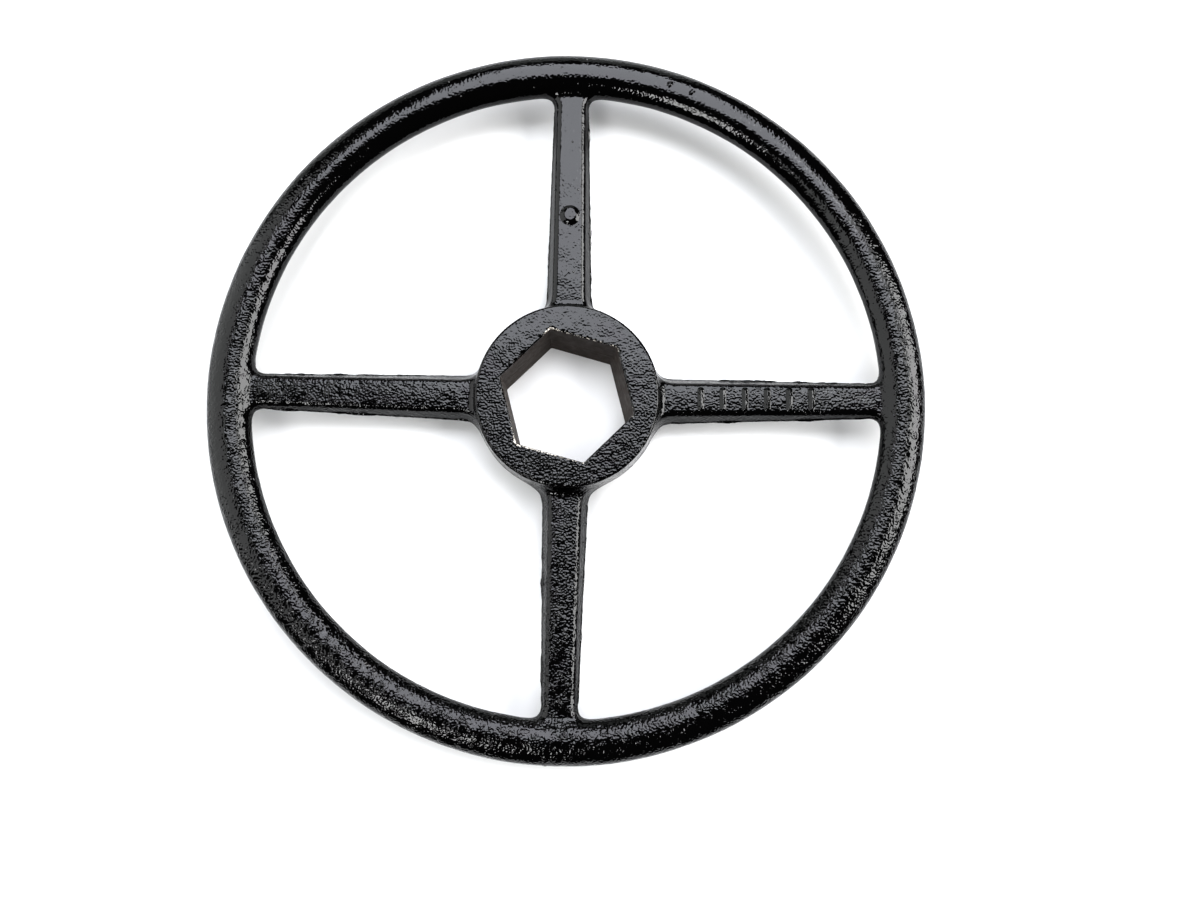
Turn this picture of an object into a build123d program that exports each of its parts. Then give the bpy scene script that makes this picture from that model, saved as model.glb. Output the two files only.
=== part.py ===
"""Cast-iron handwheel: an oval rim, four tapered spokes and a hub with a tapered hexagonal bore.

The wheel is a single sand casting. It is written here as the regions that a founder names, the rim, the hub
and the four spokes, which meet face to face on flat sections across the spokes. The raised casting marks on
two of the spokes are nodes of their own.

Frame, in millimetres: the origin is on the wheel's axis at the lower face of the hub, +Z runs up the axis
and +X runs along spoke_east.
"""

from build123d import *

import os
from math import atan, degrees, radians, tan

# Driving dimensions
WHEEL_DIAMETER = 228.6  # 9 in over the rim
RIM_WIDTH = 13.8  # radial size of the rim's oval section
RIM_HEIGHT = 9.8
RIM_Z = 14.0  # height of the middle of the rim

HUB_HEIGHT = 19.0
HUB_TOP_DIAMETER = 59.2  # before its edge is rounded
HUB_WAIST_DIAMETER = 59.6  # widest, level with the roots of the spokes
HUB_FOOT_DIAMETER = 58.6
HUB_TOP_ROUND = 1.5
HUB_FOOT_ROUND = 1.0

BORE_TOP_ACROSS_FLATS = 38.0
BORE_FOOT_ACROSS_FLATS = 35.3
BORE_FOOT_CENTRE = (-0.7, -0.75, 0)  # the core leaned in the mould
BORE_SIDES = 6
BORE_CORNER_ANGLE = 45.0  # one corner points midway between two spokes

SPOKE_NAMES = ("spoke_east", "spoke_north", "spoke_west", "spoke_south")
SPOKE_ROOT_Z = 8.5  # height of a spoke's middle at the hub
SPOKE_END_Z = 12.6  # and at the rim, so the wheel is slightly dished
SPOKE_RISE_AT_HUB = 4.7  # from a spoke's middle, where it is widest, to each of its flat faces
SPOKE_RISE_AT_RIM = 2.95
SPOKE_WIDTH_AT_HUB = 14.6
SPOKE_WIDTH_AT_RIM = 11.1
SPOKE_SIDE_SLOPE = 26.0  # degrees from upright, above and below the middle
SPOKE_EDGE_ROUND = 0.8
HUB_CORNER_RADIUS = 6.0  # in plan, where a spoke's side runs into the hub
RIM_CORNER_RADIUS = 4.5

BAR_COUNT = 6
FIRST_BAR_RADIUS = 42.7  # from the wheel's axis to the middle of the innermost bar
LAST_BAR_RADIUS = 77.8
BAR_WIDTH = 1.5
BAR_LENGTH = 7.2
MARK_RISE = 0.8
PAD_RADIUS_FROM_AXIS = 60.0
PAD_DIAMETER = 6.0

HUB_SECTION = 36.0  # distance from the axis of the flat sections between the hub and the spokes
RIM_SECTION = 94.0  # and of those between the spokes and the rim
SPOKE_END_CLEAR_WIDTH = 21.0  # as wide as the end of a spoke with its corners

# Worked out from the driving dimensions
spoke_count = len(SPOKE_NAMES)
rim_centre_radius = (WHEEL_DIAMETER - RIM_WIDTH) / 2
rim_inner_radius = WHEEL_DIAMETER / 2 - RIM_WIDTH
hub_waist_radius = HUB_WAIST_DIAMETER / 2
width_per_mm = (SPOKE_WIDTH_AT_RIM - SPOKE_WIDTH_AT_HUB) / (rim_inner_radius - hub_waist_radius)
half_width_at_axis = (SPOKE_WIDTH_AT_HUB - width_per_mm * hub_waist_radius) / 2
half_width_at_rim_centre = half_width_at_axis + width_per_mm * rim_centre_radius / 2
face_z_at_hub = SPOKE_ROOT_Z + SPOKE_RISE_AT_HUB
face_z_at_rim = SPOKE_END_Z + SPOKE_RISE_AT_RIM
face_slope = degrees(atan((face_z_at_rim - face_z_at_hub) / (RIM_SECTION - HUB_SECTION)))
bar_pitch = (LAST_BAR_RADIUS - FIRST_BAR_RADIUS) / (BAR_COUNT - 1)


def save(piece, name):
    """Labels a finished part and writes it as parts/NAME.step."""
    piece.part.label = name
    export_step(piece.part, f"parts/{name}.step")


def spoke_face_z(radius):
    """Height of a spoke's upper face at a distance from the axis."""
    return face_z_at_hub + (radius - HUB_SECTION) * tan(radians(face_slope))


def make_windows(middle_z):
    """The plan of the four openings between the spokes, at the height where the spokes are widest."""
    with BuildSketch(Plane.XY.offset(middle_z)) as windows:
        Circle(rim_inner_radius)
        Circle(hub_waist_radius, mode=Mode.SUBTRACT)
        with PolarLocations(0, spoke_count):
            Polygon(
                (0, -half_width_at_axis),
                (rim_centre_radius, -half_width_at_rim_centre),
                (rim_centre_radius, half_width_at_rim_centre),
                (0, half_width_at_axis),
                align=None,
                mode=Mode.SUBTRACT,
            )
        hub_corners = windows.vertices().sort_by_distance((0, 0, middle_z))[: 2 * spoke_count]
        fillet(hub_corners, HUB_CORNER_RADIUS)
        rim_corners = windows.vertices().sort_by_distance((0, 0, middle_z))[-2 * spoke_count :]
        fillet(rim_corners, RIM_CORNER_RADIUS)
    return windows.sketch


def make_web(middle_z, rise):
    """A level web of four spokes with their corners, running on into the middle of the rim and the hub."""
    windows = make_windows(middle_z)
    with BuildPart() as web:
        with BuildSketch(Plane.XY.offset(middle_z)):
            Circle(rim_centre_radius)
        extrude(amount=rise, both=True)
        for side in (1, -1):
            extrude(windows, amount=rise, dir=(0, 0, side), taper=-SPOKE_SIDE_SLOPE, mode=Mode.SUBTRACT)
        for level_edges in (web.edges().group_by(Axis.Z)[-1], web.edges().group_by(Axis.Z)[0]):
            window_edges = [edge for edge in level_edges if edge.length < 2 * rim_centre_radius]
            fillet(window_edges, SPOKE_EDGE_ROUND)
    return web.part


def make_bore():
    """The tapered hexagonal hole, as a solid to take out of the hub."""
    with BuildPart() as bore:
        ends = ((BORE_FOOT_CENTRE, BORE_FOOT_ACROSS_FLATS), ((0, 0, HUB_HEIGHT), BORE_TOP_ACROSS_FLATS))
        for centre, across_flats in ends:
            with BuildSketch(Plane(centre)):
                RegularPolygon(across_flats / 2, BORE_SIDES, major_radius=False, rotation=BORE_CORNER_ANGLE)
        loft()
    return bore.part


os.makedirs("parts", exist_ok=True)

# Rim: an oval ring, with the ends of the spokes and their corners
with BuildPart() as end_blocks:
    with PolarLocations(RIM_SECTION, spoke_count):
        Box(
            rim_centre_radius - RIM_SECTION,
            SPOKE_END_CLEAR_WIDTH,
            2 * HUB_HEIGHT,
            align=(Align.MIN, Align.CENTER, Align.CENTER),
        )

with BuildPart() as spoke_ends:
    add(make_web(SPOKE_END_Z, SPOKE_RISE_AT_RIM))
    add(end_blocks.part, mode=Mode.INTERSECT)

with BuildPart() as rim:
    with BuildSketch(Plane.XZ):
        with Locations((rim_centre_radius, RIM_Z)):
            Ellipse(RIM_WIDTH / 2, RIM_HEIGHT / 2)
    revolve(axis=Axis.Z)
    add(spoke_ends.part)
save(rim, "rim")

# Hub: a drafted boss with rounded edges, the roots of the spokes, and the bore through it
with BuildPart() as boss:
    with BuildSketch(Plane.XZ):
        Polygon(
            (0, 0),
            (HUB_FOOT_DIAMETER / 2, 0),
            (hub_waist_radius, SPOKE_ROOT_Z),
            (HUB_TOP_DIAMETER / 2, HUB_HEIGHT),
            (0, HUB_HEIGHT),
            align=None,
        )
    revolve(axis=Axis.Z)
    boss_circles = boss.edges().filter_by(GeomType.CIRCLE)
    fillet(boss_circles.sort_by(Axis.Z)[-1], HUB_TOP_ROUND)
    fillet(boss.edges().filter_by(GeomType.CIRCLE).sort_by(Axis.Z)[0], HUB_FOOT_ROUND)

with BuildPart() as hub:
    add(make_web(SPOKE_ROOT_Z, SPOKE_RISE_AT_HUB))
    Box(2 * HUB_SECTION, 2 * HUB_SECTION, 2 * HUB_HEIGHT, mode=Mode.INTERSECT)
    add(boss.part)
    add(make_bore(), mode=Mode.SUBTRACT)
save(hub, "hub")

# Spokes, anticlockwise from +X, each between a flat section on the hub and one on the rim
root_section = hub.faces().sort_by(Axis.X)[-1]
end_section = spoke_ends.faces().filter_by(Plane.YZ).sort_by_distance((RIM_SECTION, 0, SPOKE_END_Z))[0]
with BuildPart() as east_spoke:
    loft([root_section, end_section])
for number, name in enumerate(SPOKE_NAMES):
    with BuildPart() as spoke:
        add(east_spoke.part, rotation=(0, 0, number * 360 / spoke_count))
    save(spoke, name)

# Six plain bars across the upper face of spoke_east
with BuildPart() as tally_bars:
    for number in range(BAR_COUNT):
        bar_radius = FIRST_BAR_RADIUS + number * bar_pitch
        with BuildSketch(Plane((bar_radius, 0, spoke_face_z(bar_radius))).rotated((0, -face_slope, 0))):
            SlotOverall(BAR_LENGTH, BAR_WIDTH, rotation=90)
        extrude(amount=MARK_RISE)
save(tally_bars, "tally_bars")

# A plain round pad on the upper face of spoke_north
with BuildPart() as pattern_pad:
    pad_place = Plane((0, PAD_RADIUS_FROM_AXIS, spoke_face_z(PAD_RADIUS_FROM_AXIS)))
    with BuildSketch(pad_place.rotated((face_slope, 0, 0))):
        Circle(PAD_DIAMETER / 2)
    extrude(amount=MARK_RISE)
save(pattern_pad, "pattern_pad")
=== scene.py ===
"""Looks of the cast-iron handwheel: its rough sand-cast skin under gloss black enamel.

The casting is written as one solid shape, a signed distance in millimetres, and each CAD node is replaced by
the stretch of that shape that the node holds. Pieces meet on the CAD model's own flat sections, with the same
surface, the same roughness and the same shading on both sides.
"""

import itertools
import math

import bmesh
import bpy
import numpy as np
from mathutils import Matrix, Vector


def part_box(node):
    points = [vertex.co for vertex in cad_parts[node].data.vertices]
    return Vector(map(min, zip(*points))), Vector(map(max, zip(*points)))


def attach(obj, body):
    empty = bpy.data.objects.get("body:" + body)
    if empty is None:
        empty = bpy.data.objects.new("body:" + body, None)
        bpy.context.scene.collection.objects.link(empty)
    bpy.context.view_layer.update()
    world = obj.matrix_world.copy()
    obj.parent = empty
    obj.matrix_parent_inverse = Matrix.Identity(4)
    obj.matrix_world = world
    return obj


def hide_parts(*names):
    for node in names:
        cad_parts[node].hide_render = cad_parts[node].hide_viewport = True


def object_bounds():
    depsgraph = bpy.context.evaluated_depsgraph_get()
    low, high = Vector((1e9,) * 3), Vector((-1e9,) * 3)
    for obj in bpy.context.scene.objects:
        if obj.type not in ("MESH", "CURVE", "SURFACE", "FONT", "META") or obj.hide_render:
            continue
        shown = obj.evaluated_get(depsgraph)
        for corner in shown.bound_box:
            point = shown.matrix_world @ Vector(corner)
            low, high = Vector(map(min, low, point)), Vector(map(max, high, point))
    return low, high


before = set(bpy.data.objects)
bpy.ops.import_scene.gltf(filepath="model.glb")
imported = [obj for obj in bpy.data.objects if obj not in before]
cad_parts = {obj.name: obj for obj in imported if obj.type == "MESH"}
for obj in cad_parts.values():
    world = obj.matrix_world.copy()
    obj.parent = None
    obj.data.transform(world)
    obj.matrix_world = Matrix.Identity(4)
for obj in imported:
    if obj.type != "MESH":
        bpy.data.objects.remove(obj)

import openvdb
from mathutils import Matrix, Vector

cad_low, cad_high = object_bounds()
MM = 0.001


# ---------------------------------------------------------------------------------------------------------
# Sizes, in millimetres in the row frame
# ---------------------------------------------------------------------------------------------------------

def box_mm(node):
    low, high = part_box(node)
    return np.array(low) / MM, np.array(high) / MM


rim_low, rim_high = box_mm("rim")
hub_low, hub_high = box_mm("hub")
east_low, east_high = box_mm("spoke_east")
bars_low, bars_high = box_mm("tally_bars")
pad_low, pad_high = box_mm("pattern_pad")

# The clean rim lies about this far inside the CAD's, which leaves room for the height of the skin
SKIN_ROOM = 0.1
WHEEL_RADIUS = 114.2
RIM_WIDTH = 13.8
RIM_Z = (rim_low[2] + rim_high[2]) / 2
RIM_HALF_HEIGHT = (rim_high[2] - rim_low[2]) / 2 - SKIN_ROOM
RIM_MEAN_RADIUS = WHEEL_RADIUS - RIM_WIDTH / 2
RIM_INNER_RADIUS = WHEEL_RADIUS - RIM_WIDTH

HUB_HEIGHT = hub_high[2]
HUB_SECTION = hub_high[0]
RIM_SECTION = east_high[0]
HUB_PROFILE_Z = (0.0, 8.5, HUB_HEIGHT)
HUB_PROFILE_RADIUS = (29.2, 29.8, 29.0)
HUB_EDGE_ROUND = 0.8

BORE_TOP_APOTHEM = 19.0
BORE_FOOT_APOTHEM = 17.65
BORE_FOOT_CENTRE = (-0.7, -0.75)
BORE_FLAT_ANGLE = math.radians(15)
BORE_CORNER_ROUND = 0.7
BORE_EDGE_ROUND = 0.4

SPOKE_COUNT = 4
SPOKE_ROOT_HALF_WIDTH = east_high[1]  # at the hub section
SPOKE_END_HALF_WIDTH = 5.71  # at the rim section
SPOKE_RISE_AT_HUB = 4.7
SPOKE_RISE_AT_RIM = 2.95
SPOKE_ROOT_Z = east_low[2] + SPOKE_RISE_AT_HUB
SPOKE_END_Z = east_high[2] - SPOKE_RISE_AT_RIM
SPOKE_CROWN = 0.18  # drop of the upper face from its middle line to this far aside
SPOKE_CROWN_ASIDE = 5.5
SPOKE_SIDE_SLOPE = math.tan(math.radians(26))
SPOKE_EDGE_ROUND = 1.1
SPOKE_TUCK = 1.5  # rise of the lower face where the spoke enters the rim, between these radii
SPOKE_TUCK_RADII = (97, 102)
SPOKE_LEAN = np.radians((0.41, 0.27, -0.35, -0.33))  # how far each spoke of the pattern strayed in azimuth
WINDOW_INTO_HUB = 1.8  # how far the plan of the openings between the spokes runs on into the hub
WINDOW_INTO_RIM = 1.2
HUB_CORNER_ROUND = 7.0
RIM_CORNER_ROUND = 5.6
HUB_BLEND_ROUND = 2.4
RIM_BLEND_ROUND = 1.5
OVERRUN = 2  # how far a piece's shape runs on past the flat section where it is then cut off

# How much of the bore's upper edge is knocked bare, from 0 to 1, round the hub in degrees
BORE_WEAR_AZIMUTH = (15, 45, 60, 95, 105, 115, 150, 215, 225, 240, 262, 285, 310, 345)
BORE_WEAR = (0.2, 0.7, 0.66, 0.6, 1.0, 0.5, 0.2, 0.6, 1.0, 0.95, 0.8, 0.6, 0.2, 0.6)

BAR_COUNT = 6
BAR_WIDTH = 1.5
BAR_LENGTH = bars_high[1] - bars_low[1]
BAR_FIRST = bars_low[0] + BAR_WIDTH / 2
BAR_LAST = bars_high[0] - BAR_WIDTH / 2
MARK_RISE = 0.8
MARK_SLOPE = 0.62  # of a mark's sides, which spread this far past its outline at the foot
MARK_FOOT = 0.36
MARK_EDGE_ROUND = 0.25
MARK_FOOT_ROUND = 0.2
MARK_DEPTH = 0.25  # how far a mark reaches into the spoke
PAD_CENTRE = (pad_low[1] + pad_high[1]) / 2
PAD_RADIUS = (pad_high[0] - pad_low[0]) / 2

# Place, radius and rise of each lump in the skin, and where the run of paint crosses the rim's outer edge
BLEMISHES = (
    (31.5, 103.0, 18.9, 0.95, 0.32),
    (38.6, 100.4, 18.9, 0.8, 0.28),
    (-99.0, 9.6, 13.0, 1.1, 0.7),
)
RUN_X = -4.7
RUN_RISE = 0.2
RUN_HALF_WIDTH = 0.35
RUN_RADII = (106.5, 108)  # it fades in between these

# Coarseness of the sand: its mean and swing, and at two radii the y where it passes the mean and how gently
GRIT_MEAN = 0.62
GRIT_SWING = 0.36
GRIT_RADII = (40, 95)
GRIT_MIDDLE_Y = (2, 25)
GRIT_SPREAD_Y = (20, 60)

# Height of each layer of the skin, and the size of its lumps
PEBBLE_RISE, PEBBLE_SIZE = 0.04, 1.1
CLOT_RISE, CLOT_SIZE, CLOT_GRAIN = 0.03, 2.3, 0.9
RIPPLE_RISE, RIPPLE_SIZE = 0.03, 5.5
SWELL_RISE, SWELL_SIZE = 0.07, 17.0
CHIP_DEPTH, CHIP_SIZE = 0.3, 1.7
EDGE_REACH = 0.55  # from the bore's upper edge, of its chips and its wear
FIN_LEAST, FIN_RISE, FIN_HALF_WIDTH = 0.16, 0.5, 0.4
FIN_AT_HUB, FIN_AT_RIM = (31, 35), (97, 101)  # radii between which the fin comes in and goes out
FOOT_FADE_Z = (-0.2, 1.5)  # the skin fades out downwards between these

# Cell of the grid that each kind of piece is meshed on
RIM_CELL = 0.6
HUB_CELL = 0.352
SPOKE_CELL = 0.27
MARK_CELL = 0.13


# ---------------------------------------------------------------------------------------------------------
# Noise
# ---------------------------------------------------------------------------------------------------------

GRADIENTS = np.random.default_rng(7).normal(size=(256, 3))
GRADIENTS /= np.linalg.norm(GRADIENTS, axis=1, keepdims=True)


def noise(points, size, seed=0):
    """Smooth gradient noise of about -1 to 1, with lumps of the given size."""
    scaled = points / size + 17.3 * seed
    cell = np.floor(scaled).astype(np.int64)
    part = scaled - cell
    fade = part**3 * (part * (part * 6 - 15) + 10)
    total = np.zeros(len(points))
    for corner in itertools.product((0, 1), repeat=3):
        node = cell + corner
        mixed = node[:, 0] * 73856093 ^ node[:, 1] * 19349663 ^ node[:, 2] * 83492791
        mixed = (mixed ^ (mixed >> 15)) * 2654435761 & 0xFFFFFFFF
        pull = GRADIENTS[(mixed >> 11) & 255]
        weight = np.prod(np.where(corner, fade, 1 - fade), axis=1)
        total += weight * np.einsum("ij,ij->i", part - corner, pull)
    return 1.6 * total


def smoothstep(low, high, value):
    t = np.clip((value - low) / (high - low), 0, 1)
    return t * t * (3 - 2 * t)


# ---------------------------------------------------------------------------------------------------------
# The casting as a signed distance, negative inside
# ---------------------------------------------------------------------------------------------------------

def join(a, b, radius):
    """Union of two shapes with a fillet."""
    fillet = np.hypot(np.maximum(radius - a, 0), np.maximum(radius - b, 0))
    return np.maximum(radius, np.minimum(a, b)) - fillet


def cut(a, b, radius):
    """Intersection of two shapes with a rounded edge."""
    edge = np.hypot(np.maximum(radius + a, 0), np.maximum(radius + b, 0))
    return np.minimum(-radius, np.maximum(a, b)) + edge


def ring(p):
    """The rim's oval ring."""
    across = (np.hypot(p[:, 0], p[:, 1]) - RIM_MEAN_RADIUS) / (RIM_WIDTH / 2)
    up = (p[:, 2] - RIM_Z) / RIM_HALF_HEIGHT
    level = np.hypot(across, up)
    slope = np.hypot(across / (RIM_WIDTH / 2), up / RIM_HALF_HEIGHT)
    return level * (level - 1) / np.maximum(slope, 1e-6)


def along_spoke(p):
    """Distance out along the nearest spoke, and distance sideways from its middle."""
    angle = np.arctan2(p[:, 1], p[:, 0])
    step = 2 * math.pi / SPOKE_COUNT
    nearest = np.round(angle / step).astype(int)
    turned = angle - step * nearest - SPOKE_LEAN[nearest % SPOKE_COUNT]
    radius = np.hypot(p[:, 0], p[:, 1])
    return radius * np.cos(turned), radius * np.sin(turned)


def tapered(at_hub, at_rim, out):
    """A size of the spokes that changes evenly from the hub section to the rim section."""
    return at_hub + (at_rim - at_hub) * (out - HUB_SECTION) / (RIM_SECTION - HUB_SECTION)


def spoke_face_height(p):
    """Height of a point over the crowned upper face of the nearest spoke."""
    out, aside = along_spoke(p)
    face_z = tapered(SPOKE_ROOT_Z + SPOKE_RISE_AT_HUB, SPOKE_END_Z + SPOKE_RISE_AT_RIM, out)
    return p[:, 2] - face_z + SPOKE_CROWN * (aside / SPOKE_CROWN_ASIDE) ** 2


def spokes(p):
    """All four spokes: what the openings leave in plan, with sloping sides and flat lower faces."""
    out, aside = along_spoke(p)
    radius = np.hypot(p[:, 0], p[:, 1])
    half_width = tapered(SPOKE_ROOT_HALF_WIDTH, SPOKE_END_HALF_WIDTH, out)
    inner_radius = HUB_PROFILE_RADIUS[1] - WINDOW_INTO_HUB
    window = cut(half_width - np.abs(aside), inner_radius - radius, HUB_CORNER_ROUND)
    window = cut(window, radius - RIM_INNER_RADIUS - WINDOW_INTO_RIM, RIM_CORNER_ROUND)
    away = np.abs(p[:, 2] - tapered(SPOKE_ROOT_Z, SPOKE_END_Z, out))
    side = (away * SPOKE_SIDE_SLOPE - window) / math.hypot(1, SPOKE_SIDE_SLOPE)
    tuck = SPOKE_TUCK * smoothstep(*SPOKE_TUCK_RADII, radius)
    lower_z = tapered(SPOKE_ROOT_Z - SPOKE_RISE_AT_HUB, SPOKE_END_Z - SPOKE_RISE_AT_RIM, out)
    faces = np.maximum(spoke_face_height(p), lower_z - p[:, 2] + tuck)
    return np.maximum(cut(side, faces, SPOKE_EDGE_ROUND), radius - RIM_MEAN_RADIUS)


def boss(p):
    """The hub, widest at its waist, with rounded edges and no bore."""
    wall = np.hypot(p[:, 0], p[:, 1]) - np.interp(p[:, 2], HUB_PROFILE_Z, HUB_PROFILE_RADIUS)
    upper = cut(wall, p[:, 2] - HUB_HEIGHT, HUB_EDGE_ROUND)
    return cut(upper, -p[:, 2], HUB_EDGE_ROUND)


def bore(p):
    """The tapered, slightly leaning hexagonal hole, with corners as round as a core leaves them."""
    depth = 1 - np.clip(p[:, 2] / HUB_HEIGHT, 0, 1)
    x, y = p[:, 0] - BORE_FOOT_CENTRE[0] * depth, p[:, 1] - BORE_FOOT_CENTRE[1] * depth
    radius = np.hypot(x, y)
    angle = np.arctan2(y, x) - BORE_FLAT_ANGLE
    turned = angle - math.pi / 3 * np.round(angle / (math.pi / 3))
    apothem = np.interp(p[:, 2], (0, HUB_HEIGHT), (BORE_FOOT_APOTHEM, BORE_TOP_APOTHEM))
    apothem = apothem - BORE_CORNER_ROUND
    outward = radius * np.cos(turned) - apothem
    past_corner = np.maximum(np.abs(radius * np.sin(turned)) - apothem * math.tan(math.pi / 6), 0)
    return np.where(outward > 0, np.hypot(outward, past_corner), outward) - BORE_CORNER_ROUND


def casting(p):
    solid = join(join(ring(p), spokes(p), RIM_BLEND_ROUND), boss(p), HUB_BLEND_ROUND)
    return cut(solid, -bore(p), BORE_EDGE_ROUND)


def rim_shape(p):
    ends = np.maximum(spokes(p), RIM_SECTION - OVERRUN - along_spoke(p)[0])
    return join(ring(p), ends, RIM_BLEND_ROUND)


def hub_shape(p):
    roots = np.maximum(spokes(p), along_spoke(p)[0] - HUB_SECTION - OVERRUN)
    return cut(join(roots, boss(p), HUB_BLEND_ROUND), -bore(p), BORE_EDGE_ROUND)


def bar_outline(p):
    """Plan distance to the nearest of the six bars."""
    out, aside = along_spoke(p)
    pitch = (BAR_LAST - BAR_FIRST) / (BAR_COUNT - 1)
    nearest = BAR_FIRST + pitch * np.clip(np.round((out - BAR_FIRST) / pitch), 0, BAR_COUNT - 1)
    past_end = np.maximum(np.abs(aside) - (BAR_LENGTH - BAR_WIDTH) / 2, 0)
    return np.hypot(out - nearest, past_end) - BAR_WIDTH / 2


def pad_outline(p):
    out, aside = along_spoke(p)
    return np.hypot(out - PAD_CENTRE, aside) - PAD_RADIUS


def mark_shape(outline):
    """A raised mark with flattened sides, cut off a little below the spoke's face."""
    def shape(p):
        over = spoke_face_height(p)
        past_foot = outline(p) - MARK_FOOT
        flank = (over + MARK_SLOPE * past_foot) / math.hypot(1, MARK_SLOPE)
        mark = cut(flank, over - MARK_RISE, MARK_EDGE_ROUND)
        raised = join(over, mark, MARK_FOOT_ROUND)
        return np.maximum(np.maximum(raised, past_foot), -over - MARK_DEPTH)
    return shape


# ---------------------------------------------------------------------------------------------------------
# Skin: what the sand, the parting line and the paint leave on the surface
# ---------------------------------------------------------------------------------------------------------

def grit(p):
    """How coarse the sand was, from about a quarter at the north to nearly 1 at the south."""
    radius = np.hypot(p[:, 0], p[:, 1])
    middle = np.interp(radius, GRIT_RADII, GRIT_MIDDLE_Y)
    spread = np.interp(radius, GRIT_RADII, GRIT_SPREAD_Y)
    return GRIT_MEAN - GRIT_SWING * np.tanh((p[:, 1] - middle) / spread)


def bore_edge(p):
    """1 on the upper edge of the bore, fading to almost nothing within a millimetre."""
    return np.exp(-((bore(p) / EDGE_REACH) ** 2 + ((p[:, 2] - HUB_HEIGHT) / EDGE_REACH) ** 2))


def worn(p):
    """How much of the bore's upper edge is knocked bare, round the hub: most at the north and south-west."""
    azimuth = np.degrees(np.arctan2(p[:, 1], p[:, 0])) % 360
    amount = np.interp(azimuth, BORE_WEAR_AZIMUTH, BORE_WEAR, period=360)
    return amount * np.sqrt(bore_edge(p))


def flash(p, clean):
    """The ragged fin along the parting line, where the halves of the mould met."""
    radius = np.hypot(p[:, 0], p[:, 1])
    parting_z = np.interp(
        radius, (HUB_SECTION, RIM_SECTION, RIM_INNER_RADIUS), (SPOKE_ROOT_Z, SPOKE_END_Z, RIM_Z)
    )
    ragged = FIN_LEAST + FIN_RISE * np.maximum(noise(p, 7.0, 5) + 0.35 * noise(p, 2.2, 9), 0)
    on_side = 1 - smoothstep(0.55, 0.8, np.abs(clean[:, 2]))
    on_spokes = 0.2 + 0.8 * smoothstep(*FIN_AT_HUB, radius) * (1 - smoothstep(*FIN_AT_RIM, radius))
    return on_spokes * on_side * ragged * np.exp(-(((p[:, 2] - parting_z) / FIN_HALF_WIDTH) ** 2))


def blemishes(p):
    """Paint blisters on the rim's crest, a run of paint on its south side and a lump in a spoke's corner."""
    height = np.zeros(len(p))
    for x, y, z, size, rise in BLEMISHES:
        away = np.sqrt((p[:, 0] - x) ** 2 + (p[:, 1] - y) ** 2 + (p[:, 2] - z) ** 2)
        height += rise * (1 - smoothstep(0.3 * size, size, away))
    radius = np.hypot(p[:, 0], p[:, 1])
    along = radius * np.arctan2(p[:, 0] - RUN_X * radius / WHEEL_RADIUS, -p[:, 1])
    wander = along + 0.25 * noise(p, 1.6, 11)
    run = RUN_RISE * np.exp(-((wander / RUN_HALF_WIDTH) ** 2)) * smoothstep(*RUN_RADII, radius)
    return height + run


def skin_height(p, clean):
    """How far the surface stands out from the clean shape, whose normals are given."""
    rough = grit(p) * (0.4 + 0.6 * smoothstep(0.3, 0.85, np.abs(clean[:, 2])))
    clots = CLOT_RISE * noise(p, CLOT_SIZE, 2) * noise(p, CLOT_GRAIN, 6)
    pebble = PEBBLE_RISE * noise(p, PEBBLE_SIZE, 1) + clots
    swell = RIPPLE_RISE * noise(p, RIPPLE_SIZE, 3) + SWELL_RISE * noise(p, SWELL_SIZE, 4)
    chips = CHIP_DEPTH * bore_edge(p) * smoothstep(0.0, 0.6, noise(p, CHIP_SIZE, 8))
    height = rough * pebble + swell + flash(p, clean) + blemishes(p) - chips
    return height * smoothstep(*FOOT_FADE_Z, p[:, 2])


# ---------------------------------------------------------------------------------------------------------
# Meshing
# ---------------------------------------------------------------------------------------------------------

def slope_of(shape, p, step=0.02):
    """Gradient of a scalar function of points."""
    result = np.empty_like(p)
    for axis in range(3):
        nudge = np.zeros(3)
        nudge[axis] = step
        result[:, axis] = (shape(p + nudge) - shape(p - nudge)) / (2 * step)
    return result


def unit(v):
    return v / np.maximum(np.linalg.norm(v, axis=1, keepdims=True), 1e-9)


def surface_of(shape, low, high, cell):
    """Points and quads of a shape's surface inside a box, on a grid of the given cell size."""
    margin = 4 * cell
    counts = np.ceil((np.array(high) - low + 2 * margin) / cell).astype(int)
    origin = np.array(low) - margin
    axes = [origin[i] + cell * np.arange(counts[i]) for i in range(3)]
    values = np.empty(counts, np.float32)
    plane_xy = np.stack(np.meshgrid(axes[0], axes[1], indexing="ij"), -1).reshape(-1, 2)
    for layer, z in enumerate(axes[2]):
        points = np.column_stack((plane_xy, np.full(len(plane_xy), z)))
        values[:, :, layer] = shape(points).reshape(counts[0], counts[1])
    grid = openvdb.FloatGrid(4 * cell)
    grid.copyFromArray(np.clip(values, -4 * cell, 4 * cell))
    points, quads = grid.convertToQuads(isovalue=0.0)
    return origin + cell * points.astype(float), quads


def settle(shape, p, rounds=3):
    """Moves points onto the shape's surface."""
    for _ in range(rounds):
        slope = slope_of(shape, p)
        p = p - slope * (shape(p) / np.maximum((slope**2).sum(axis=1), 0.2))[:, None]
    return p


def trim(bm, centre, outward, keep=None):
    """Cuts the mesh off at a plane, over the faces that keep picks, and closes it with a flat cap."""
    faces = [f for f in bm.faces if keep is None or keep(f.calc_center_median() / MM)]
    parts = set(faces)
    for f in faces:
        parts.update(f.edges)
        parts.update(f.verts)
    bmesh.ops.bisect_plane(
        bm, geom=list(parts), dist=1e-9, plane_co=Vector(centre) * MM, plane_no=outward, clear_outer=True
    )
    rims = [e for e in bm.edges if e.is_boundary]
    caps = bmesh.ops.holes_fill(bm, edges=rims, sides=0)["faces"]
    for f in caps:
        f.material_index = 0
        f.smooth = False


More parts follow.
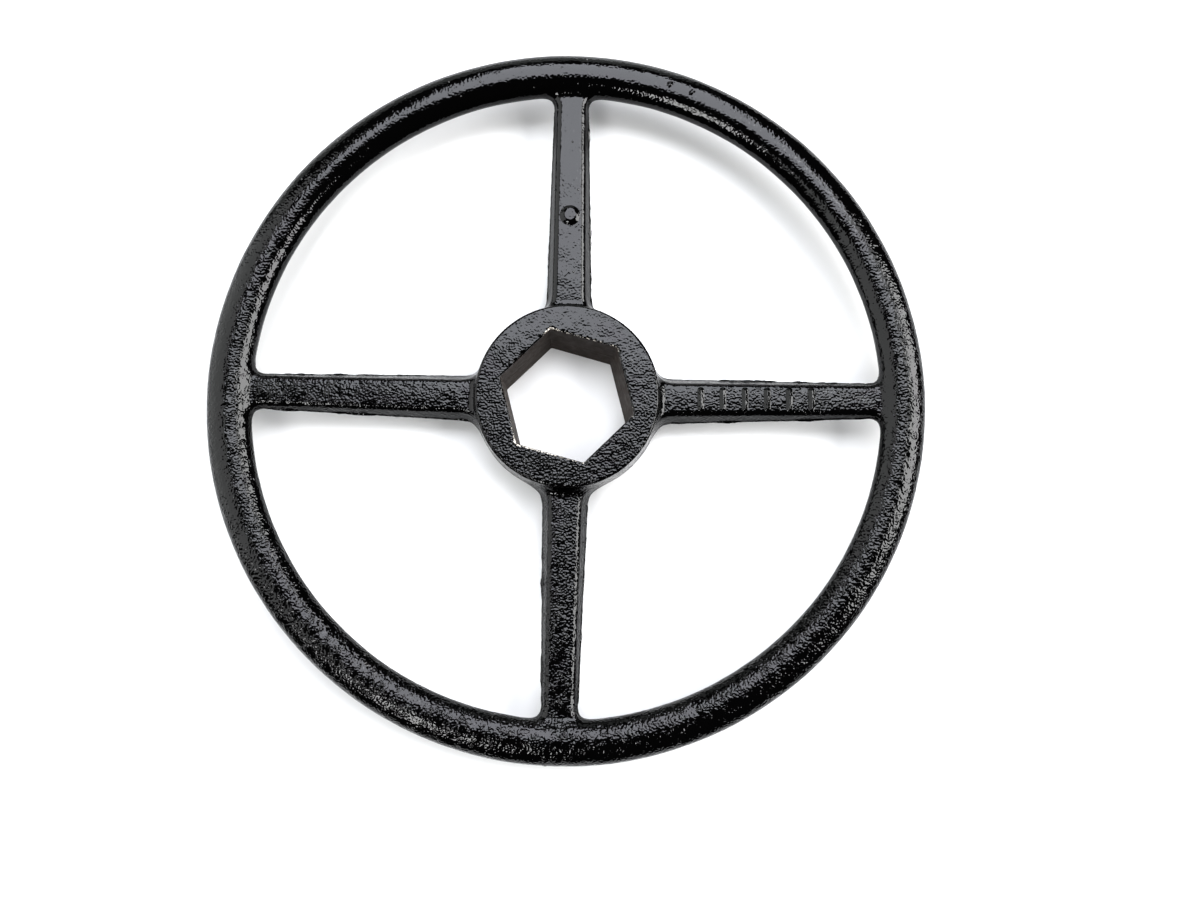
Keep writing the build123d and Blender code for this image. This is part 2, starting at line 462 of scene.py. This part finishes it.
def build_piece(name, shape, low, high, cell, cuts=(), field=None):
    """A mesh object of one stretch of the casting, in metres, with its skin and the casting's own shading."""
    points, quads = surface_of(shape, low, high, cell)
    points = settle(shape, points)
    mesh = bpy.data.meshes.new(name)
    mesh.from_pydata((points * MM).tolist(), [], quads[:, ::-1].tolist())
    mesh.shade_smooth()
    bm = bmesh.new()
    bm.from_mesh(mesh)
    for centre, outward, keep in cuts:
        trim(bm, centre, outward, keep)
    bmesh.ops.recalc_face_normals(bm, faces=bm.faces)
    bm.to_mesh(mesh)
    bm.free()

    p = np.empty(len(mesh.vertices) * 3)
    mesh.vertices.foreach_get("co", p)
    p = p.reshape(-1, 3) / MM
    field = field or shape
    clean = unit(slope_of(field, p))
    height = skin_height(p, clean)
    tilt = slope_of(lambda q: skin_height(q, clean), p, 0.05)
    tilt -= clean * (tilt * clean).sum(axis=1, keepdims=True)
    normals = unit(clean - tilt)
    moved = p + clean * height[:, None]
    moved[:, 2] = np.maximum(moved[:, 2], 0)  # the hub stands flat on its foot
    mesh.vertices.foreach_set("co", (moved * MM).ravel())
    mesh.update()

    corner_vertex = np.empty(len(mesh.loops), int)
    mesh.loops.foreach_get("vertex_index", corner_vertex)
    corner_normals = normals[corner_vertex]
    for face in mesh.polygons:
        if not face.use_smooth:
            corner_normals[list(face.loop_indices)] = face.normal
    mesh.normals_split_custom_set(corner_normals.tolist())
    for attribute, values in (("grit", grit(p)), ("worn", worn(p))):
        mesh.attributes.new(attribute, "FLOAT", "POINT").data.foreach_set("value", values)

    piece = bpy.data.objects.new(name, mesh)
    bpy.context.scene.collection.objects.link(piece)
    return piece


def show(piece, material, *nodes):
    """Gives a piece its material and puts it in the place of the CAD's nodes."""
    piece.data.materials.append(material)
    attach(piece, "root")
    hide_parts(*nodes)


# ---------------------------------------------------------------------------------------------------------
# Materials
# ---------------------------------------------------------------------------------------------------------

def new_material(name):
    material = bpy.data.materials.new(name)
    material.use_nodes = True
    tree = material.node_tree
    tree.nodes.clear()
    output = tree.nodes.new("ShaderNodeOutputMaterial")
    shader = tree.nodes.new("ShaderNodeBsdfPrincipled")
    tree.links.new(shader.outputs[0], output.inputs[0])
    return material, tree, shader


def noise_node(tree, coordinates, size_mm, detail, roughness=0.5):
    node = tree.nodes.new("ShaderNodeTexNoise")
    node.inputs["Scale"].default_value = 1 / (size_mm * MM)
    node.inputs["Detail"].default_value = detail
    node.inputs["Roughness"].default_value = roughness
    tree.links.new(coordinates, node.inputs["Vector"])
    return node.outputs["Fac"]


def ramp_node(tree, value, low, high, out_low, out_high):
    node = tree.nodes.new("ShaderNodeMapRange")
    for socket, number in zip(node.inputs[1:5], (low, high, out_low, out_high)):
        socket.default_value = number
    tree.links.new(value, node.inputs[0])
    return node.outputs[0]


def math_node(tree, operation, a, b):
    node = tree.nodes.new("ShaderNodeMath")
    node.operation = operation
    for socket, value in zip(node.inputs, (a, b)):
        if isinstance(value, (int, float)):
            socket.default_value = value
        else:
            tree.links.new(value, socket)
    return node.outputs[0]


def mix_node(tree, factor, a, b):
    """A colour between two colours, each of them a constant or a socket."""
    node = tree.nodes.new("ShaderNodeMix")
    node.data_type = "RGBA"
    tree.links.new(factor, node.inputs["Factor"])
    for socket, value in ((node.inputs["A"], a), (node.inputs["B"], b)):
        if isinstance(value, tuple):
            socket.default_value = (*value, 1)
        else:
            tree.links.new(value, socket)
    return node.outputs["Result"]


def mesh_value(tree, name):
    node = tree.nodes.new("ShaderNodeAttribute")
    node.attribute_name = name
    return node.outputs["Fac"]


def add_bump(tree, shader, relief, strength, distance):
    node = tree.nodes.new("ShaderNodeBump")
    node.inputs["Strength"].default_value = strength
    node.inputs["Distance"].default_value = distance
    tree.links.new(relief, node.inputs["Height"])
    tree.links.new(node.outputs[0], shader.inputs["Normal"])


PAINT_COLOURS = ((0.0012, 0.0012, 0.0014), (0.003, 0.0029, 0.0028))
# Light grey of the dust nibs: partly the dust's own colour, partly a painted highlight on each nib
DUST_AND_GLINT_COLOUR = (0.16, 0.16, 0.15)
IRON_COLOUR = (0.52, 0.49, 0.44)
BORE_COLOURS = ((0.04, 0.034, 0.03), (0.068, 0.057, 0.051))
FLOOR_COLOUR = (0.74, 0.74, 0.74, 1)


def enamel():
    """Gloss black enamel over the sand-cast skin, with raised nibs of dust in it whose lighter colour is
    partly a painted highlight, and bare iron on knocked edges.
    """
    material, tree, shader = new_material("black_enamel")
    coordinates = tree.nodes.new("ShaderNodeTexCoord").outputs["Object"]
    shader.inputs["IOR"].default_value = 1.45

    cloud = noise_node(tree, coordinates, 14, 4)
    paint = mix_node(tree, cloud, *PAINT_COLOURS)
    nib_cells = tree.nodes.new("ShaderNodeTexVoronoi")
    nib_cells.inputs["Scale"].default_value = 1 / (3.6 * MM)
    tree.links.new(coordinates, nib_cells.inputs["Vector"])
    # Mask of the dust nibs: it raises them in the bump and lightens them with a painted highlight
    nib_and_glint = ramp_node(tree, nib_cells.outputs["Distance"], 0.035, 0.1, 1, 0)
    # The nibs are lightened towards grey, which is a painted highlight as well as dust
    painted = mix_node(tree, math_node(tree, "MULTIPLY", nib_and_glint, 0.35), paint, DUST_AND_GLINT_COLOUR)
    flakes = noise_node(tree, coordinates, 0.5, 1, 0.6)
    knocked = math_node(tree, "MULTIPLY", mesh_value(tree, "worn"), flakes)
    bare = ramp_node(tree, knocked, 0.3, 0.37, 0, 1)
    tree.links.new(mix_node(tree, bare, painted, IRON_COLOUR), shader.inputs["Base Color"])
    tree.links.new(math_node(tree, "MULTIPLY", bare, 0.6), shader.inputs["Metallic"])

    patches = noise_node(tree, coordinates, 5, 5, 0.6)
    of_paint = ramp_node(tree, patches, 0.3, 0.7, 0.03, 0.09)
    of_iron = math_node(tree, "MULTIPLY", bare, 0.4)
    tree.links.new(math_node(tree, "MAXIMUM", of_paint, of_iron), shader.inputs["Roughness"])

    patchy = ramp_node(tree, noise_node(tree, coordinates, 3.2, 1), 0.3, 0.7, 0.45, 1.55)
    grains = noise_node(tree, coordinates, 0.68, 0)
    coarse = math_node(tree, "MULTIPLY", grains, mesh_value(tree, "grit"))
    grain = math_node(tree, "MULTIPLY", coarse, patchy)
    relief = math_node(tree, "ADD", grain, math_node(tree, "MULTIPLY", nib_and_glint, 0.4))
    add_bump(tree, shader, relief, 1.0, 0.2 * MM)
    return material


def bore_paint():
    """Thin dull paint on the smooth walls that the core left."""
    material, tree, shader = new_material("dull_bore")
    coordinates = tree.nodes.new("ShaderNodeTexCoord").outputs["Object"]
    shader.inputs["Specular IOR Level"].default_value = 0.12
    cloud = noise_node(tree, coordinates, 6, 4)
    tree.links.new(mix_node(tree, cloud, *BORE_COLOURS), shader.inputs["Base Color"])
    patches = noise_node(tree, coordinates, 2.5, 4, 0.6)
    tree.links.new(ramp_node(tree, patches, 0.3, 0.7, 0.45, 0.65), shader.inputs["Roughness"])
    add_bump(tree, shader, noise_node(tree, coordinates, 0.8, 3), 0.5, 0.08 * MM)
    return material


def paper():
    """The pale floor, with a trace of glow that lifts its shadows."""
    material, tree, shader = new_material("pale_floor")
    shader.inputs["Base Color"].default_value = FLOOR_COLOUR
    shader.inputs["Roughness"].default_value = 0.9
    shader.inputs["Emission Color"].default_value = (1, 1, 1, 1)
    shader.inputs["Emission Strength"].default_value = 0.04
    return material


# ---------------------------------------------------------------------------------------------------------
# Pieces
# ---------------------------------------------------------------------------------------------------------

# Each piece is meshed in a box a little larger than its CAD node
SPOKE_BOX_HALF_WIDTH = 9
SPOKE_END_REACH = (RIM_SECTION - 4, RIM_SECTION + 3, 12)  # nearest, farthest and how far aside
BORE_MOUTH_BAND = 0.45  # of the bore's walls, next to its upper edge, that keeps the enamel
BORE_FOOT_BAND = 0.6  # and next to its lower edge
BORE_REACH = 23  # past the bore's corners, and inside the hub's outer wall


def spoke_end_picker(direction):
    """A test for the faces of the spoke's end that the rim holds in one direction."""
    nearest, farthest, aside = SPOKE_END_REACH

    def picks(centre):
        out = centre.dot(direction)
        return nearest < out < farthest and (centre.xy - direction.xy * out).length < aside
    return picks


black = enamel()
quarters = [math.pi / 2 * i for i in range(SPOKE_COUNT)]
directions = [Vector((math.cos(a), math.sin(a), 0)) for a in quarters]

rim = build_piece(
    "rim",
    rim_shape,
    rim_low - 0.3,
    rim_high + 0.3,
    RIM_CELL,
    cuts=[(d * RIM_SECTION, -d, spoke_end_picker(d)) for d in directions],
    field=casting,
)
show(rim, black, "rim")

hub = build_piece(
    "hub",
    hub_shape,
    (-HUB_SECTION - 1, -HUB_SECTION - 1, 0),
    (HUB_SECTION + 1, HUB_SECTION + 1, HUB_HEIGHT),
    HUB_CELL,
    cuts=[(d * HUB_SECTION, d, None) for d in directions],
    field=casting,
)
show(hub, black, "hub")
hub.data.materials.append(bore_paint())
for face in hub.data.polygons:
    on_wall = BORE_FOOT_BAND < face.center.z / MM < HUB_HEIGHT - BORE_MOUTH_BAND
    if on_wall and face.center.xy.length < BORE_REACH * MM:
        face.material_index = 1


def spoke_piece(name, direction):
    """One spoke, between the flat sections that it shares with the hub and the rim."""
    middle = np.array(direction) * (HUB_SECTION + RIM_SECTION) / 2
    reach = (RIM_SECTION - HUB_SECTION) / 2 + OVERRUN

    def shape(p):
        return np.maximum(spokes(p), np.abs((p - middle) @ np.array(direction)) - reach)

    half_size = np.where(np.abs(middle) > 1, reach + 1, SPOKE_BOX_HALF_WIDTH)
    low, high = middle - half_size, middle + half_size
    low[2], high[2] = east_low[2] - 0.5, east_high[2] + 0.5
    cuts = [(direction * HUB_SECTION, -direction, None), (direction * RIM_SECTION, direction, None)]
    return build_piece(name, shape, low, high, SPOKE_CELL, cuts, casting)


for direction, name in zip(directions, ("spoke_east", "spoke_north", "spoke_west", "spoke_south")):
    show(spoke_piece(name, direction), black, name)

marks = (
    ("tally_bars", bar_outline, bars_low, bars_high),
    ("pattern_pad", pad_outline, pad_low, pad_high),
)
for name, outline, low, high in marks:
    mark = build_piece(name, mark_shape(outline), low - (1, 1, 0.6), high + (1, 1, 0.3), MARK_CELL)
    show(mark, black, name)


# ---------------------------------------------------------------------------------------------------------
# Stage, lights and camera
# ---------------------------------------------------------------------------------------------------------

FLOOR_RADIUS = 1  # in metres: its edge is still bright enough to vanish against the backdrop

# Azimuth and elevation in degrees, distance and size in metres, radiance and colour of each light
COOL = (0.96, 0.98, 1.04)
WHITE = (1, 1, 1)
PANELS = (
    ("north_window", 85, 58.7, 2.5, (1.35, 2.03), 5.3, COOL),
    ("north_skylight", 85, 82.3, 2.45, (1.35, 0.12), 1.6, COOL),
    ("north_east_panel", 38, 62, 2.5, (0.8, 0.75), 3.2, (0.98, 0.99, 1.0)),
    ("east_softbox", 5, 40, 2.5, (1.9, 1.35), 7.6, WHITE),
    ("south_west_softbox", -121, 50, 2.5, (0.5, 1.1), 9.3, WHITE),
    ("west_wall", 172, 34, 2.5, (2.6, 3.2), 1.9, (0.98, 1.0, 1.0)),
    ("north_wall", 108, 9, 2.5, (3.4, 1.2), 0.75, (0.96, 1.0, 0.99)),
)

LENS = 30.0915  # focal length in millimetres
SENSOR_WIDTH = 36
CAMERA_PLACE = (7.22, -51.85, 315.82)  # in millimetres from the middle of the rim's plane
CAMERA_TURN = 0.97  # in degrees, of the camera and its place about the wheel's axis
CAMERA_TILT = 6.339  # from straight down, northwards
CAMERA_ASIDE = -0.575  # and sideways


def add_floor():
    bpy.ops.mesh.primitive_circle_add(
        vertices=96, radius=FLOOR_RADIUS, fill_type="NGON", location=(0, 0, cad_low.z)
    )
    floor = bpy.context.object
    floor.name = "floor"
    floor.data.materials.append(paper())


def add_panel(name, azimuth, elevation, distance, size, radiance, colour):
    """A soft rectangular light that faces the wheel."""
    light = bpy.data.lights.new(name, "AREA")
    light.shape = "RECTANGLE"
    light.size, light.size_y = size
    light.energy = radiance * math.pi * size[0] * size[1]
    light.color = colour
    panel = bpy.data.objects.new(name, light)
    a, e = math.radians(azimuth), math.radians(elevation)
    away = Vector((math.cos(a) * math.cos(e), math.sin(a) * math.cos(e), math.sin(e)))
    panel.location = away * distance
    panel.rotation_mode = "QUATERNION"
    panel.rotation_quaternion = away.to_track_quat("Z", "Y")
    panel.visible_camera = False
    bpy.context.scene.collection.objects.link(panel)


def add_camera():
    """Almost straight down, from a place 52 mm towards spoke_south."""
    lens = bpy.data.cameras.new("camera")
    lens.sensor_width = SENSOR_WIDTH
    lens.lens = LENS
    lens.clip_start = 0.01
    camera = bpy.data.objects.new("camera", lens)
    turn = Matrix.Rotation(math.radians(CAMERA_TURN), 4, "Z")
    x, y, height = CAMERA_PLACE
    place = Matrix.Translation(Vector((x, y, height + RIM_Z)) * MM)
    tilt = Matrix.Rotation(math.radians(CAMERA_TILT), 4, "X")
    aim = tilt @ Matrix.Rotation(math.radians(CAMERA_ASIDE), 4, "Y")
    camera.matrix_world = turn @ place @ aim
    bpy.context.scene.collection.objects.link(camera)
    bpy.context.scene.camera = camera


def set_surroundings():
    """A dark room for the reflections, and a pale backdrop for the camera."""
    world = bpy.data.worlds.new("room")
    bpy.context.scene.world = world
    world.use_nodes = True
    tree = world.node_tree
    tree.nodes.clear()
    rays = tree.nodes.new("ShaderNodeLightPath")
    dark = tree.nodes.new("ShaderNodeBackground")
    dark.inputs["Color"].default_value = (0.025, 0.025, 0.026, 1)
    pale = tree.nodes.new("ShaderNodeBackground")
    pale.inputs["Color"].default_value = (1, 1, 1, 1)
    mix = tree.nodes.new("ShaderNodeMixShader")
    output = tree.nodes.new("ShaderNodeOutputWorld")
    tree.links.new(rays.outputs["Is Camera Ray"], mix.inputs[0])
    tree.links.new(dark.outputs[0], mix.inputs[1])
    tree.links.new(pale.outputs[0], mix.inputs[2])
    tree.links.new(mix.outputs[0], output.inputs[0])
    bpy.context.scene.view_settings.view_transform = "Standard"
    bpy.context.scene.view_settings.look = "High Contrast"


add_floor()
for panel in PANELS:
    add_panel(*panel)
set_surroundings()
add_camera()
